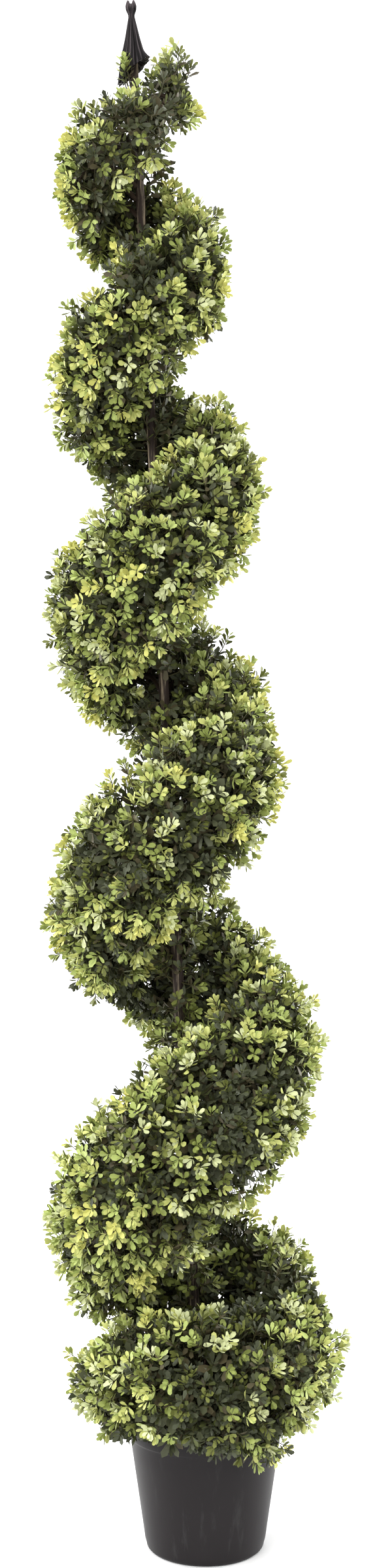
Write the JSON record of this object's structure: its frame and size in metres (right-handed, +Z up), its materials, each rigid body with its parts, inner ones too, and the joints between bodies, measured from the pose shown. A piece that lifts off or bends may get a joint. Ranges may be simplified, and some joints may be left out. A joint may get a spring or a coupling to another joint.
{
  "type": "artificial spiral topiary",
  "caption": "Tall artificial boxwood spiral on a slim leaning pole, standing in a dark round nursery pot.",
  "frame": {"origin": "middle of the pot's flat underside, on the floor", "axes": "+Z up, -Y towards the front, the pole leans about 3 degrees towards -X"},
  "size_m": [0.3476, 0.3369, 1.83],
  "materials": {
    "pot_plastic": "satin dark charcoal moulded plastic",
    "ballast_stone": "rough cast",
    "pole_bark": "matt streaked brown",
    "tip_wrap": "dark pleated wrap",
    "leaf_green": "soft matt leaves in several greens"
  },
  "bodies": {
    "root": {"pot": "pot_plastic", "ballast": "ballast_stone", "pole": "pole_bark", "tip_sheath": "tip_wrap", "foliage_01": "leaf_green", "foliage_02": "leaf_green", "foliage_03": "leaf_green", "foliage_04": "leaf_green", "foliage_05": "leaf_green", "foliage_06": "leaf_green", "foliage_07": "leaf_green", "foliage_08": "leaf_green", "foliage_09": "leaf_green", "foliage_10": "leaf_green", "foliage_11": "leaf_green", "foliage_12": "leaf_green", "foliage_13": "leaf_green", "foliage_14": "leaf_green", "foliage_15": "leaf_green", "foliage_16": "leaf_green", "foliage_17": "leaf_green", "foliage_18": "leaf_green", "foliage_19": "leaf_green", "foliage_20": "leaf_green", "foliage_21": "leaf_green", "foliage_22": "leaf_green", "foliage_23": "leaf_green", "foliage_24": "leaf_green"}
  },
  "joints": []
}
